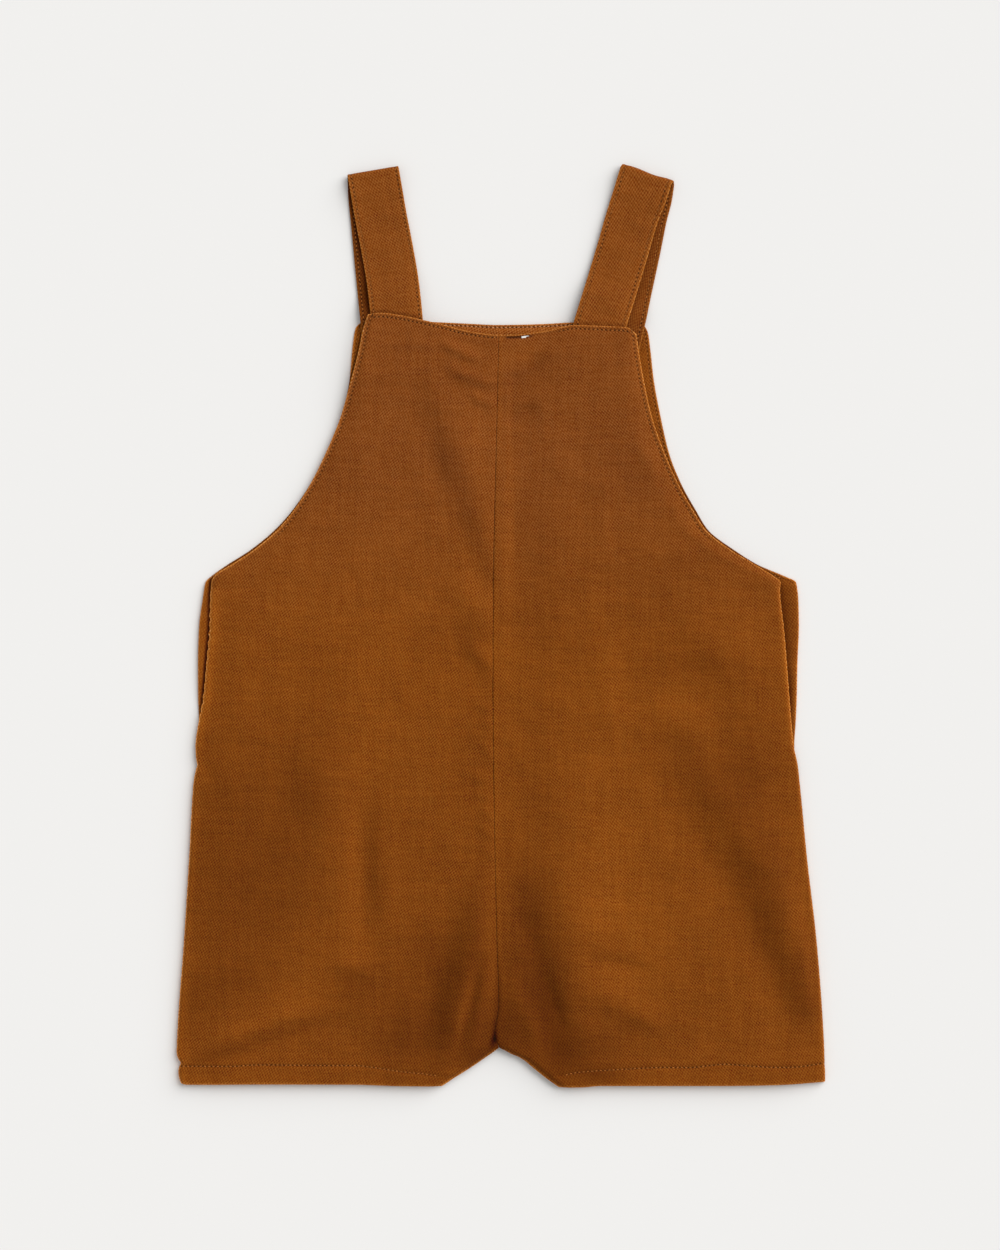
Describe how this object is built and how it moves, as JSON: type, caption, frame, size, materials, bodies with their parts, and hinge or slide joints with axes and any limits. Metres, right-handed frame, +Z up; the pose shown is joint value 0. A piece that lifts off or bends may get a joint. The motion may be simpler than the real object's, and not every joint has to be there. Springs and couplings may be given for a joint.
{
  "type": "child's short overalls, laid flat",
  "caption": "Sleeveless short overalls for a small child in rust-brown twill, laid flat front up, with a bib, shoulder straps and wide short legs, for dressing a scene.",
  "frame": {"origin": "the middle of the laid-out garment's outline, on the surface that the backs lie on", "axes": "+Z up out of the surface, through the backs and then the fronts; +Y up the garment, from the hems to the straps; +X towards the right of the garment as it is seen from above"},
  "size_m": [0.3572, 0.5072, 0.0064],
  "materials": {
    "rust_twill": "matt cotton twill with a fine diagonal rib",
    "tan_thread": "twisted topstitching thread, a little lighter than the cloth",
    "white_tape": "plain woven tape, blank"
  },
  "bodies": {
    "root": {"front_left": "rust_twill", "front_right": "rust_twill", "back_left": "rust_twill", "back_right": "rust_twill", "back_facing": "rust_twill", "strap_left": "rust_twill", "strap_right": "rust_twill", "neck_label": "white_tape"}
  },
  "joints": []
}
